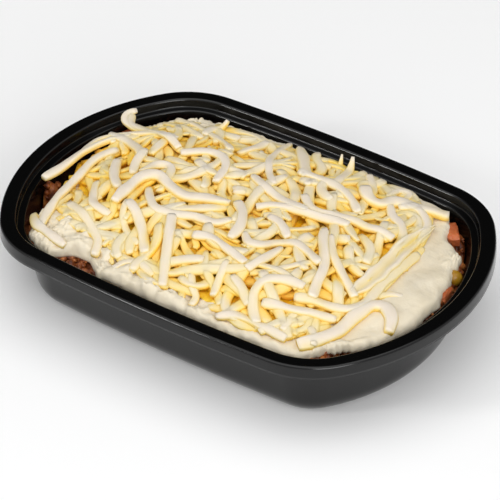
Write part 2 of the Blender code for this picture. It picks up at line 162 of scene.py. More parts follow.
def make_piece(name, points, quads, triangles=()):
    """A smooth-shaded object from points in millimetres and faces, which rides on the only body."""
    quads = np.asarray(quads, np.int32).reshape(-1, 4)
    triangles = np.asarray(triangles, np.int32).reshape(-1, 3)
    mesh = bpy.data.meshes.new(name)
    mesh.vertices.add(len(points))
    mesh.vertices.foreach_set("co", (np.asarray(points) * MM).astype(np.float32).ravel())
    mesh.loops.add(quads.size + triangles.size)
    mesh.loops.foreach_set("vertex_index", np.concatenate([quads.ravel(), triangles.ravel()]))
    sizes = np.concatenate([np.full(len(quads), 4), np.full(len(triangles), 3)])
    mesh.polygons.add(len(sizes))
    mesh.polygons.foreach_set("loop_start", (np.cumsum(sizes) - sizes).astype(np.int32))
    mesh.update(calc_edges=True)
    mesh.shade_smooth()
    piece = bpy.data.objects.new(name, mesh)
    bpy.context.scene.collection.objects.link(piece)
    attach(piece, "root")
    return piece


def cap_middle(points, ring_start, around, upwards):
    """Points with the middle of one of their rings added, and the triangles between it and the ring."""
    middle = points[ring_start:ring_start + around].mean(axis=0)
    start = ring_start + np.arange(around)
    following = ring_start + (np.arange(around) + 1) % around
    centre = np.full(around, len(points))
    fan = np.column_stack([start, following, centre] if upwards else [following, start, centre])
    return np.vstack([points, middle]), fan


def paint(code):
    """The linear colour of an sRGB hex code: (c + 0.055) / 1.055 to the power 2.4, or c / 12.92 if dark."""
    parts = [int(code[place:place + 2], 16) / 255 for place in (1, 3, 5)]
    return (*[c / 12.92 if c <= 0.04045 else ((c + 0.055) / 1.055) ** 2.4 for c in parts], 1.0)


def add_node(tree, kind, settings=None, inputs=None):
    """A new node with its settings and its inputs: an output to link from, or a plain value."""
    node = tree.nodes.new("ShaderNode" + kind)
    for name, value in (settings or {}).items():
        setattr(node, name, value)
    for name, value in (inputs or {}).items():
        if isinstance(value, bpy.types.NodeSocket):
            tree.links.new(value, node.inputs[name])
        else:
            node.inputs[name].default_value = value
    return node


def pattern_scale(size):
    """The texture scale whose patches are about this many millimetres across."""
    return 1 / (size * MM)


def new_material(name, settings):
    """A material whose Principled shader has the given plain values, with its tree and its shader."""
    material = bpy.data.materials.new(name)
    material.use_nodes = True
    shader = material.node_tree.nodes["Principled BSDF"]
    for socket, value in settings.items():
        shader.inputs[socket].default_value = value
    return material, material.node_tree, shader


def add_grain(tree, shader, size, detail, strength, depth):
    """Roughen a surface with soft noise: size of its patches and depth of its relief in millimetres."""
    place = add_node(tree, "TexCoord").outputs["Object"]
    grain = add_node(tree, "TexNoise", {}, {
        "Vector": place, "Scale": pattern_scale(size), "Detail": detail})
    bump = add_node(tree, "Bump", {}, {
        "Height": grain.outputs["Fac"], "Strength": strength, "Distance": depth * MM})
    tree.links.new(bump.outputs["Normal"], shader.inputs["Normal"])


tray_profile = np.concatenate([
    [(-SKIRT_FLARE, RIM_HEIGHT - SKIRT_DROP)],
    straight_rows((-SKIRT_FLARE, RIM_HEIGHT - SKIRT_DROP), (0, RIM_HEIGHT - RIM_EDGE_RADIUS), 3),
    arc_rows(RIM_EDGE_RADIUS, RIM_HEIGHT - RIM_EDGE_RADIUS, RIM_EDGE_RADIUS, -math.pi / 2, 0, 7),
    straight_rows((RIM_EDGE_RADIUS, RIM_HEIGHT), (RIM_FLAT_END, RIM_HEIGHT), 3),
    arc_rows(RIM_FLAT_END, RIM_HEIGHT - RIM_INNER_RADIUS, RIM_INNER_RADIUS, 0, NECK_ANGLE, 8),
    arc_rows(LEDGE_START, LEDGE_HEIGHT + NECK_RADIUS, -NECK_RADIUS, NECK_ANGLE, 0, 5),
    straight_rows((LEDGE_START, LEDGE_HEIGHT), (LEDGE_END, LEDGE_HEIGHT), 2),
    arc_rows(LEDGE_END, LEDGE_HEIGHT - LEDGE_RADIUS, LEDGE_RADIUS, 0, math.pi / 2 - WALL_LEAN, 7),
    straight_rows((LEDGE_END + LEDGE_RADIUS, LEDGE_HEIGHT - LEDGE_RADIUS), foot_rows(0, 2)[0], 8),
    foot_rows(0, 12),
])
loop, outward = rim_loop(*TRAY_STEPS)
rings = inset_rings(loop, outward, tray_profile[:, 0], tray_profile[:, 1])
shrunk = [rings[-1] * (share, share, 1) for share in BASE_SHARES]
rings = np.concatenate([rings, shrunk])
points, fan = cap_middle(rings.reshape(-1, 3), (len(rings) - 1) * len(loop), len(loop), True)
tray = make_piece("tray_shell", points, loop_faces(len(rings), len(loop)), fan)
wall = tray.modifiers.new("wall", "SOLIDIFY")
wall.thickness = TRAY_WALL * MM
wall.offset = -1
wall.use_even_offset = True

# Black polypropylene sheet, vacuum formed against a smooth mould: deep black, with long soft reflections
# that bend in slow waves where the sheet was heated unevenly
black, tree, shader = new_material("vacuum_formed_polypropylene", {
    "Base Color": paint("#050505"), "IOR": 1.46, "Roughness": 0.15})
add_grain(tree, shader, size=22, detail=2, strength=0.25, depth=0.4)
tray.data.materials.append(black)
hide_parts("tray")


# The mince
# Minced meat cooked in its gravy, spooned in first up to a level. Only its edge shows, between the potato
# and the tray's wall, as wet red-brown crumbs. The core is one level mass with a rough top, and loose
# crumbs lie along its edge.
GAP = 0.35
MINCE_HEIGHT = 33.1
MINCE_FALL_WIDTH = 5.0
MINCE_LEAST = 16.0
MOUND_DEPTH = 14.0
CRUMB_COUNT = 1000
CRUMB_SIZES = (1.6, 5.2)
CRUMB_SEED = 11
CRUMB_CLEARANCE = 0.6
CRUMB_COVER = 2.5
SIDE_DROP = 2.5
MINCE_SETTLE = 0.9
MINCE_ROUGHNESS = 0.6
MINCE_STEPS = (36, 76, 48)
MINCE_INSETS = np.arange(0, 20, 0.6)
MINCE_SHARES = (0.75, 0.45, 0.15)

# Distance from the rim's outer edge to the potato's edge, by direction in degrees
MASH_EDGE = ((0, 14), (8, 15.5), (16, 16.5), (22, 15), (30, 21), (38, 20), (47, 13.8), (60, 13.2),
             (90, 14), (117, 13.2), (125, 16), (140, 18.5), (150, 17), (161, 20), (176, 21), (196, 23),
             (206, 20), (211, 14.5), (218, 12.6), (225, 12.8), (231, 13.2), (235, 19), (240, 20),
             (245, 14), (270, 13), (314, 13.6), (325, 17.5), (330, 16.5), (335, 13.2), (346, 12.8),
             (354, 13.2))

# How far the mince falls away beside the potato, by direction in degrees
MINCE_FALLS = ((0, 8), (40, 9), (60, 12), (100, 15), (205, 16), (222, 12), (232, 4), (250, 3), (315, 3),
               (340, 5))

# Heaps of mince beside the potato: place, half width along X and Y, and height of the top
MINCE_MOUNDS = (((-94, -22), (9, 8), 37.5), ((97, 13), (9, 11), 33), ((94, 27), (8, 8), 33),
                ((78, 53), (15, 11), 33), ((100, 2), (7, 12), 32), ((90, -40), (9, 9), 33),
                ((-92, 34), (8, 8), 33))


def edge_distance(x, y):
    """How far (x, y) lies inside the rim's outer edge, from whichever of the three arcs faces it."""
    x = np.abs(x)
    y = np.abs(y)
    at_end = (np.arctan2(y, x - END_CENTRE[0]) < END_TO_CORNER) & (x > END_CENTRE[0])
    at_side = ~at_end & (np.arctan2(y - SIDE_CENTRE[1], x) > CORNER_TO_SIDE)
    from_end = END_RADIUS - np.hypot(x - END_CENTRE[0], y)
    from_side = SIDE_RADIUS - np.hypot(x, y - SIDE_CENTRE[1])
    from_corner = CORNER_RADIUS - np.hypot(x - CORNER_CENTRE[0], y - CORNER_CENTRE[1])
    return np.where(at_end, from_end, np.where(at_side, from_side, from_corner))


def by_direction(table, x, y):
    """The value that a table of (degrees, value) gives in the direction of (x, y)."""
    degrees, values = zip(*table)
    return np.interp(np.degrees(np.arctan2(y, x)), degrees, values, period=360)


def smooth_step(t):
    """Zero below 0, one above 1, and 3 t^2 - 2 t^3 between."""
    t = np.clip(t, 0, 1)
    return t * t * (3 - 2 * t)


def rolling(places, size, seed):
    """Soft random relief, mostly between -1 and 1: a sum of sine waves in random directions.

    Each wave is sin(2 pi p . d / length + phase), with its length within about 40% of the size.
    """
    draw = np.random.default_rng(seed)
    waves = 14
    directions = draw.normal(size=(waves, places.shape[-1]))
    directions /= np.linalg.norm(directions, axis=1, keepdims=True)
    lengths = size * draw.uniform(0.7, 1.4, waves)
    phases = draw.uniform(0, 2 * math.pi, waves)
    angles = places @ (directions / lengths[:, None]).T * 2 * math.pi + phases
    return np.sin(angles).sum(axis=-1) / math.sqrt(waves)


def ball_grid(rows, around):
    """Unit directions over a sphere, row by row from pole to pole, with its quads and end triangles."""
    down = np.linspace(0, math.pi, rows + 1)[1:-1, None]
    turn = np.arange(around) * 2 * math.pi / around
    level = np.broadcast_to(np.cos(down), (rows - 1, around))
    bands = np.stack([np.sin(down) * np.cos(turn), np.sin(down) * np.sin(turn), level], axis=-1)
    bands = bands[::-1].reshape(-1, 3)
    points = np.vstack([bands, (0, 0, -1), (0, 0, 1)])
    start = np.arange(around)
    following = (start + 1) % around
    last = (rows - 2) * around
    low_pole = np.full(around, len(bands))
    bottom = np.column_stack([following, start, low_pole])
    top = np.column_stack([last + start, last + following, low_pole + 1])
    return points, loop_faces(rows - 1, around), np.vstack([bottom, top])


def random_turns(draw, count):
    """Rotation matrices from random unit quaternions."""
    a, b, c, d = draw.normal(size=(4, count))
    length = np.sqrt(a * a + b * b + c * c + d * d)
    a, b, c, d = a / length, b / length, c / length, d / length
    return np.stack([
        np.stack([1 - 2 * (c * c + d * d), 2 * (b * c - a * d), 2 * (b * d + a * c)], axis=-1),
        np.stack([2 * (b * c + a * d), 1 - 2 * (b * b + d * d), 2 * (c * d - a * b)], axis=-1),
        np.stack([2 * (b * d - a * c), 2 * (c * d + a * b), 1 - 2 * (b * b + c * c)], axis=-1),
    ], axis=-2)


def lumps(grid, centres, sizes, turns, roughness, seed):
    """Rough balls at centres: each direction times its size and 1 + roughness * relief, then turned.

    The relief is read at the direction plus an offset of the ball's own, so that no two are alike.
    """
    directions, quads, triangles = grid
    offsets = np.random.default_rng(seed).uniform(-40, 40, (len(centres), 1, 3))
    places = directions[None] + offsets
    relief = rolling(places, 1.5, seed) + 0.5 * rolling(places, 0.7, seed)
    balls = directions[None] * (1 + roughness * relief[..., None]) * sizes[:, None] / 2
    balls = np.einsum("nij,nkj->nki", turns, balls) + centres[:, None]
    shift = np.arange(len(centres))[:, None, None] * len(directions)
    return balls.reshape(-1, 3), (quads + shift).reshape(-1, 4), (triangles + shift).reshape(-1, 3)


def inward_rings(loop, outward, start, insets, shares):
    """Flat rings further and further in from a start inset, then the last one shrunk to the middle."""
    moved_in = start[None] + np.reshape(insets, (-1, 1))
    rings = inset_rings(loop, outward, moved_in, np.zeros((len(insets), 1)))
    return np.concatenate([rings] + [rings[-1:] * (share, share, 1) for share in shares])


def closed_rings(rings):
    """A closed surface through rings of points in turn: its points, its quads and its end triangles."""
    count, around = rings.shape[:2]
    points, first_fan = cap_middle(rings.reshape(-1, 3), 0, around, False)
    points, last_fan = cap_middle(points, (count - 1) * around, around, True)
    return points, loop_faces(count, around), np.vstack([first_fan, last_fan])


def near(places, middle, reach):
    """One at a middle and zero past its reach, as (1 - d^2)^2, where the reach may differ along X and Y."""
    offset = (places - np.array(middle)) / np.array(reach)
    return np.clip(1 - (offset ** 2).sum(axis=-1), 0, 1) ** 2


def mince_top(places):
    """Height of the mince: level under the potato, falling away beside it, except where it is heaped."""
    x, y = places[..., 0], places[..., 1]
    beyond = by_direction(MASH_EDGE, x, y) - edge_distance(x, y)
    fall = by_direction(MINCE_FALLS, x, y) * smooth_step(beyond / MINCE_FALL_WIDTH)
    heaps = [top - MOUND_DEPTH * (1 - near(places, middle, reach)) for middle, reach, top in MINCE_MOUNDS]
    level = np.maximum(np.maximum(MINCE_HEIGHT - fall, MINCE_LEAST), np.max(heaps, axis=0))
    return np.where(beyond > 1, level, np.minimum(level, MINCE_HEIGHT))


loop, outward = rim_loop(*MINCE_STEPS)
side_height = MINCE_LEAST - SIDE_DROP
side_rows = np.concatenate([
    foot_rows(GAP, 9)[::-1],
    [(wall_inset(side_height) + GAP, side_height)],
])
sides = inset_rings(loop, outward, side_rows[:, 0], side_rows[:, 1])
start = np.full(len(loop), wall_inset(MINCE_HEIGHT) + GAP)
top = inward_rings(loop, outward, start, MINCE_INSETS, MINCE_SHARES)
rough = rolling(top[..., :2], 4.5, 21) + 0.8 * rolling(top[..., :2], 2.0, 22)
top[..., 2] = mince_top(top[..., :2]) - MINCE_SETTLE + MINCE_ROUGHNESS * rough
overlap = wall_inset(top[..., 2]) + GAP - edge_distance(top[..., 0], top[..., 1])
top[..., :2] -= outward * np.clip(overlap, 0, None)[..., None]
mince = make_piece("mince_core", *closed_rings(np.concatenate([sides, top])))

draw = np.random.default_rng(CRUMB_SEED)
spots = draw.integers(0, len(loop), CRUMB_COUNT)
sizes = CRUMB_SIZES[0] + (CRUMB_SIZES[1] - CRUMB_SIZES[0]) * draw.random(CRUMB_COUNT) ** 1.6
free_start = wall_inset(MINCE_HEIGHT) + CRUMB_CLEARANCE + sizes / 2
free_end = np.maximum(by_direction(MASH_EDGE, *loop[spots].T) + CRUMB_COVER, free_start + 0.1)
depths = free_start + (free_end - free_start) * draw.random(CRUMB_COUNT)
flat = loop[spots] - outward[spots] * depths[:, None]
heights = mince_top(flat) - 0.6 + draw.uniform(-0.4, 1.2, CRUMB_COUNT) - (sizes - 3) * 0.15
overlap = wall_inset(heights - sizes / 2) + CRUMB_CLEARANCE + sizes / 2 - depths
flat -= outward[spots] * np.clip(overlap, 0, None)[:, None]
centres = np.column_stack([flat, heights])
shapes = sizes[:, None] * draw.uniform(0.7, 1.15, (CRUMB_COUNT, 3))
crumb_parts = lumps(ball_grid(6, 9), centres, shapes, random_turns(draw, CRUMB_COUNT), 0.2, CRUMB_SEED)
crumbs = make_piece("mince_crumbs", *crumb_parts)

# Beef mince, browned and simmered in gravy: wet uneven grains that run from nearly black to light brown,
# with small glints
meat, tree, shader = new_material("simmered_beef_mince", {
    "Roughness": 0.36, "IOR": 1.42, "Subsurface Weight": 0.05, "Subsurface Scale": 0.001,
    "Subsurface Radius": (1.0, 0.6, 0.3)})
place = add_node(tree, "TexCoord").outputs["Object"]
patches = add_node(tree, "TexNoise", {}, {"Vector": place, "Scale": pattern_scale(3.8), "Detail": 4.0})
ramp = add_node(tree, "ValToRGB", {}, {"Fac": patches.outputs["Fac"]})
for position, code in ((0.30, "#3b1a0a"), (0.43, "#6e3516"), (0.55, "#99552a"), (0.68, "#bd7a40")):
    stop = ramp.color_ramp.elements.new(position)
    stop.color = paint(code)
ramp.color_ramp.elements.remove(ramp.color_ramp.elements[0])
ramp.color_ramp.elements.remove(ramp.color_ramp.elements[-1])
tree.links.new(ramp.outputs["Color"], shader.inputs["Base Color"])
add_grain(tree, shader, size=1.1, detail=3, strength=0.6, depth=0.4)
for piece in (mince, crumbs):
    piece.data.materials.append(meat)
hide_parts("mince_filling")


# The carrot and the pea
# Boiled carrot dice and one pea that lie on the mince beside the potato, cut and cooked soft, so their
# edges are rounded and their surface is wet.
CARROT_SIZE = 7.0
CARROT_SHAPE = (1.7, 0.72, 0.75)
PEA_DIAMETER = 7.5
VEGETABLE_RISE = 0.6
DICE_SQUARENESS = 0.66
DICE_DENTS = 0.09
PEA_WRINKLES = 0.018

# Carrots: place, turn in degrees and size against the usual
CARROTS = (((76, 53.5), -49, 1.15), ((97, 12.5), -82, 0.95), ((90, -40), 63, 0.5),
           ((-91.8, 34.2), 67, 0.8))
PEA_PLACE = (93.8, 26.2)

# Which sockets of a Mix node hold its colours, since several there share a name
FIRST_COLOUR = 6
SECOND_COLOUR = 7
MIXED_COLOUR = 2


def turned(points, degrees):
    """Points turned about the upright axis."""
    cosine = math.cos(math.radians(degrees))
    sine = math.sin(math.radians(degrees))
    return points @ np.array([[cosine, sine, 0], [-sine, cosine, 0], [0, 0, 1]])


def joined(parts):
    """One set of points, quads and triangles from several."""
    shift = 0
    points = []
    quads = []
    triangles = []
    for part_points, part_quads, part_triangles in parts:
        points.append(part_points)
        quads.append(part_quads + shift)
        triangles.append(part_triangles + shift)
        shift += len(part_points)
    return np.concatenate(points), np.concatenate(quads), np.concatenate(triangles)


def soft_dice(place, degrees, scale, seed):
    """A rounded box: each part of a unit direction raised to a power, scaled, dented and turned."""
    directions, quads, triangles = ball_grid(22, 32)
    boxy = np.sign(directions) * np.abs(directions) ** DICE_SQUARENESS
    dents = rolling(directions + seed, 1.1, seed) + 0.5 * rolling(directions + seed, 0.4, seed)
    boxy *= 1 + DICE_DENTS * dents[:, None]
    points = turned(boxy * np.array(CARROT_SHAPE) * CARROT_SIZE * scale / 2, degrees)
    return points + (*place, MINCE_HEIGHT + VEGETABLE_RISE), quads, triangles


def add_patches(tree, shader, size, detail, dark, light):
    """Colour a surface between two tones by soft noise, its patches this many millimetres across."""
    place = add_node(tree, "TexCoord").outputs["Object"]
    patches = add_node(tree, "TexNoise", {}, {
        "Vector": place, "Scale": pattern_scale(size), "Detail": detail})
    colours = add_node(tree, "Mix", {"data_type": "RGBA"}, {
        "Factor": patches.outputs["Fac"], FIRST_COLOUR: paint(dark), SECOND_COLOUR: paint(light)})
    tree.links.new(colours.outputs[MIXED_COLOUR], shader.inputs["Base Color"])


carrots = make_piece("carrot_dice", *joined(
    [soft_dice(place, degrees, scale, 3 + index) for index, (place, degrees, scale) in enumerate(CARROTS)]))
directions, quads, triangles = ball_grid(24, 32)
wrinkled = directions * (PEA_DIAMETER / 2) * (1 + PEA_WRINKLES * rolling(directions, 0.9, 5)[:, None])
pea = make_piece("pea", wrinkled + (*PEA_PLACE, MINCE_HEIGHT + VEGETABLE_RISE), quads, triangles)

# Carrot, diced and boiled: wet orange cut faces, darker where the rind shows, into which a little light
# passes
carrot_flesh, tree, shader = new_material("boiled_diced_carrot", {
    "Roughness": 0.3, "IOR": 1.4, "Subsurface Weight": 0.3, "Subsurface Scale": 0.0015,
    "Subsurface Radius": (1.0, 0.4, 0.15)})
add_patches(tree, shader, size=6, detail=3, dark="#7a280b", light="#e08350")
add_grain(tree, shader, size=1.4, detail=2, strength=0.35, depth=0.3)
carrots.data.materials.append(carrot_flesh)

# Green pea, cooked until it turned olive: a thin tight skin that shines
pea_skin, tree, shader = new_material("boiled_pea_skin", {
    "Roughness": 0.22, "IOR": 1.42, "Subsurface Weight": 0.25, "Subsurface Scale": 0.001,
    "Subsurface Radius": (1.0, 0.7, 0.1)})
add_patches(tree, shader, size=3.3, detail=2, dark="#8a5c10", light="#c2952a")
pea.data.materials.append(pea_skin)


# The mashed potato
# Potato boiled and mashed with milk, spread over the mince with a spatula. It is a soft slab with a thick
# rounded edge, smooth where the spatula pulled it and lumpy or torn where it was dabbed down.
MASH_EDGE_HEIGHT = 38.2
MASH_MIDDLE_HEIGHT = 41.4
MASH_LUMP = 0.5
MASH_SINK = 0.6
MASH_ROUNDING = 3.6
MASH_RISE_WIDTH = 40.0
MASH_STEPS = (44, 92, 64)
MASH_INSETS = np.arange(0.6, 26, 0.62)
MASH_SHARES = (0.8, 0.5, 0.2)
LUMPY_UNTIL = 30.0
LUMPS_FADE = 30.0
CALM_FROM = 50.0
CALM_WIDTH = 20.0
TORN_HEIGHT = 1.3
CHEESE_EDGE = 1.0
CHEESE_RISE = 6.6
CHEESE_SLOPE_WIDTH = 30.0

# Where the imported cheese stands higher: place, half width along X and Y, and height
CHEESE_SWELLS = (((-80, 24), (34, 34), 3.2), ((10, 58), (90, 24), 2.6), ((62, 48), (30, 22), 1.5))

# Distance from the rim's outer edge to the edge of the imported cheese, by direction in degrees
CHEESE_OUTLINE = ((0, 38), (20, 34), (35, 28), (50, 17), (90, 18), (125, 21), (145, 23), (180, 23),
                  (200, 25), (214, 25), (223, 32), (235, 24), (250, 21), (270, 18), (315, 17),
                  (325, 23), (336, 30), (348, 36))

# Dabs of potato on the bare edge: place, half width along X and Y, and height
MASH_DABS = (((-25, -62), (8, 6), 3.1), ((-11, -63), (9, 6), 3.3), ((4, -64), (9, 5.5), 2.8),
             ((18, -65), (9, 5), 1.6), ((-38, -53), (4.5, 4.5), 2.6), ((-53, -54), (8, 7), 2.9),
             ((-64, -46), (6, 9), 2.8), ((-75, -44), (7, 6), 1.5), ((-68, -57), (8, 6), 1.4),
             ((-60, -38), (6, 6), 0.8), ((-82, -38), (6, 5), 0.9), ((-60, 56), (12, 7), 1.5),
             ((-38, 60), (11, 6), 1.0), ((84, -49), (5, 6), 1.6),
             ((78, -54), (4, 5), 1.5), ((90, -42), (5, 5), 1.2))

# Where the potato's edge is torn into curds: place and radius
TORN_PLACES = (((92, 33), 10), ((84, -50), 9), ((-36, -62), 7), ((-84, -44), 7))

# A long smooth swelling inside the right end: middle, half width along X and Y, and height
MASH_SWELL = ((91, -4), (13, 38), 2.4)


def cheese_room(x, y):
    """How far (x, y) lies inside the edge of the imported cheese."""
    return edge_distance(x, y) - by_direction(CHEESE_OUTLINE, x, y)


def mash_top(x, y):
    """Height of the potato: a slow rise from its edge to the middle, with soft lumps where it is bare."""
    inside = edge_distance(x, y) - by_direction(MASH_EDGE, x, y)
    rise = smooth_step(inside / MASH_RISE_WIDTH) * (MASH_MIDDLE_HEIGHT - MASH_EDGE_HEIGHT)
    waves = np.sin(x / 4.1 + 1.3 * np.sin(y / 7.3)) * np.sin(y / 4.7 + 0.9 * np.sin(x / 6.1))
    bare = smooth_step(-cheese_room(x, y) / 4)
    return MASH_EDGE_HEIGHT + rise + MASH_LUMP * waves * bare


def dab(places, middle, reach):
    """A round dollop, steep at its edge: (1 - d^2)^0.45 inside its reach."""
    offset = (places - np.array(middle)) / np.array(reach)
    return np.clip(1 - (offset ** 2).sum(axis=-1), 0, 1) ** 0.45


def torn(places):
    """How torn the potato is at a place, from 0 to 1."""
    return np.max([near(places, middle, (radius, radius)) for middle, radius in TORN_PLACES], axis=0)


def mash_relief(places):
    """Dabs, spatula marks and grain on the potato, in millimetres.

    Each term is a height times soft relief of a size, and both are in millimetres. The right end is
    calmer, where the spatula pulled it smooth.
    """
    shifted = places + 0.9 * rolling(places, 7.0, 37)[..., None]
    dabs = np.max([height * dab(shifted, middle, reach) for middle, reach, height in MASH_DABS], axis=0)
    soft = 0.30 * rolling(places, 13.0, 31) + 0.18 * rolling(places, 5.0, 32)
    marks = 0.10 * rolling(places * (1.0, 2.6), 7.0, 33)
    fine = 0.05 * rolling(places, 1.8, 34)
    curds = np.abs(rolling(places, 2.4, 35)) + 0.5 * np.abs(rolling(places, 1.3, 36))
    pillows = 0.75 * np.abs(rolling(shifted, 8.0, 38)) + 0.4 * np.abs(rolling(shifted, 3.6, 39)) - 0.8
    swell = MASH_SWELL[2] * near(places, *MASH_SWELL[:2])
    calm = 1 - 0.65 * smooth_step((places[..., 0] - CALM_FROM) / CALM_WIDTH)
    lumpy = (1 - smooth_step((places[..., 0] - LUMPY_UNTIL) / LUMPS_FADE)) * pillows
    return dabs + swell + lumpy + (soft + marks) * calm + fine + TORN_HEIGHT * torn(places) * curds


loop, outward = rim_loop(*MASH_STEPS)
ragged = 0.35 * rolling(loop, 16.0, 41) + 0.12 * rolling(loop, 5.0, 42)
ragged += torn(loop * 0.88) * rolling(loop, 2.5, 43)
start = by_direction(MASH_EDGE, loop[:, 0], loop[:, 1]) + ragged
bottom = MINCE_HEIGHT - MASH_SINK
insets = np.concatenate([[12, 4, 1.2], MASH_ROUNDING * (1 - np.cos(np.linspace(0, 1.35, 12)))])
shares = np.concatenate([[0, 0, 0.12], np.sin(np.linspace(0.35, 1.45, 12))])
edge = inset_rings(loop, outward, start[None] + insets[:, None], np.zeros((len(insets), 1)))
top = inward_rings(loop, outward, start + insets[-1], MASH_INSETS, MASH_SHARES)
for rings in (edge, top):
    rings[..., 2] = mash_top(rings[..., 0], rings[..., 1]) + mash_relief(rings[..., :2])
edge[..., 2] = bottom + (edge[..., 2] - bottom) * shares[:, None]
bulge = 0.25 * rolling(edge, 5.0, 44) * np.sin(shares * math.pi)[:, None]
edge[..., :2] += outward[None] * bulge[..., None]
mash = make_piece("mashed_potato_spread", *closed_rings(np.concatenate([edge, top])))

# Potato, boiled and mashed with milk: a matt cream paste with a fine grain, slightly uneven in colour
potato, tree, shader = new_material("creamed_mashed_potato", {
    "Roughness": 0.45, "IOR": 1.4, "Subsurface Weight": 0.25, "Subsurface Scale": 0.0015,
    "Subsurface Radius": (1.0, 0.95, 0.85)})
add_patches(tree, shader, size=9, detail=4, dark="#ddd0b4", light="#eae0cb")
add_grain(tree, shader, size=1.7, detail=4, strength=0.45, depth=0.4)
mash.data.materials.append(potato)
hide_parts("mashed_potato")


# The grated cheese
# Mild hard cheese pressed through a coarse grater into long soft strips, dropped on the potato by the
# handful. The lower strips have settled into a bed, and each later strip lies on the ones before it.

# The settled bed: how far it lies below the heap, inside its edge and into the potato, and its rings
BED_DROP = 6.4
BED_MARGIN = 5.5
BED_COVER = 0.25
BED_SLOPE_WIDTH = 14.0
BED_SINK = 0.4
BED_STEPS = (30, 60, 50)
BED_INSETS = np.arange(0, 25, 0.9)
BED_SHARES = np.linspace(0.97, 0.06, 34)
UNDERSIDE_INSET = 0.6
UNDERSIDE_SHARES = (0.7, 0.3)

# The grid that keeps the heap's height as it grows
CELL = 0.5
GRID_HALF = np.array([106.0, 72.0])

# The loose strips and bits: how many, and how far below the heap they fill, less so near its border
FILL_COUNT = 300
FILL_BELOW = 150
LOW_BIT_COUNT = 50
TOP_BIT_COUNT = 10
FILL_SEED = 7
FILL_DROP = 5.2
BORDER_WIDTH = 15.0
BORDER_EXTRA = 0.8

# How a strip lies: how far it sinks in, most of all in a high heap, how far it tilts from side to side, how
# often its heights are smoothed, and how its width wanders and its section is rounded
SINK = 0.7
FIRM_DROP = 2.2
STEEPEST = 0.6
STIFFNESS = 90
TILT_ROUNDS = 60
REST_ROUNDS = 10
HEIGHT_ROUNDS = 30
WANDER = 0.07
WANDER_LENGTH = 11.0
SECTION_POWER = 0.64
BLUNT = 0.7

# The strips that the photo shows: their ends, their thickness against their width, and the broad ribbon
SEEN_ENDS = (0.55, 0.85)
TALL_LIFT = 3
TALL_ENDS = (BLUNT, 0.3)
HELD_THICKNESS = 0.6
SEEN_THICKNESS = 0.58
STRIP_SIDES = 12
RIBBON_WIDTH = 7.0
RIBBON_THICKNESS = 0.4
RIBBON_ENDS = (0.12, 0.4)
RIBBON_GROOVE = 1.0
RIBBON_SIDES = 24

# The loose strips: their form, how far they turn and how coarse they are
LOOSE_THICKNESS = (0.42, 0.54)
LOOSE_STIFFNESS = (40, 160)
LOOSE_ENDS = (0.45, 0.85)
LOOSE_TURN = 0.9
LOOSE_WAVE = 0.25
LOOSE_SIDES = 10
LOOSE_SPACING = 1.8

# Painted shade on the cheese: how far the skyline spreads, how much deeper or higher a place counts, and at
# what depth the colour is painted fully gold, standing in for light that has come through other strips
SKY_REACH = 5
FLANK_SHADE_DEPTH = 1.4
TOP_LESS_SHADE = 0.4
BED_SHADE_DEPTH = 0.8
PAINTED_GOLD_DEPTH = 6.5
TONE_SHARE = 0.2

# Lengths, widths, places tried for each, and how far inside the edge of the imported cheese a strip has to
# be on the whole and at its outermost point
FILL_STRIPS = ((18, 62), (3.4, 5.6), 14, 2.0, -1.0)
LOW_BITS = ((4, 14), (2.0, 4.0), 5, 0.0, -2.0)
TOP_BITS = ((3, 9), (1.8, 3.2), 5, 0.0, -2.0)

# Shreds that stand off what is below: width, height of the underside at each end, and places along it
HELD_SHREDS = (
    (5.0, 42.5, 40.6, (-81, 21), (-88, 12), (-92, -1), (-93, -16), (-95, -27)),
    (4.4, 41.0, 43.4, (-93, 0), (-92, 12), (-84, 21), (-72, 26), (-58, 26)),
    (4.6, 43.0, 38.6, (-79, 8), (-83.5, -3), (-82, -20), (-81, -34), (-78, -46), (-75, -55)),
    (3.6, 40.2, 42.6, (-80, 28), (-87, 29.5), (-92.4, 31.5), (-94.2, 35.8), (-92.2, 40.4)),
)

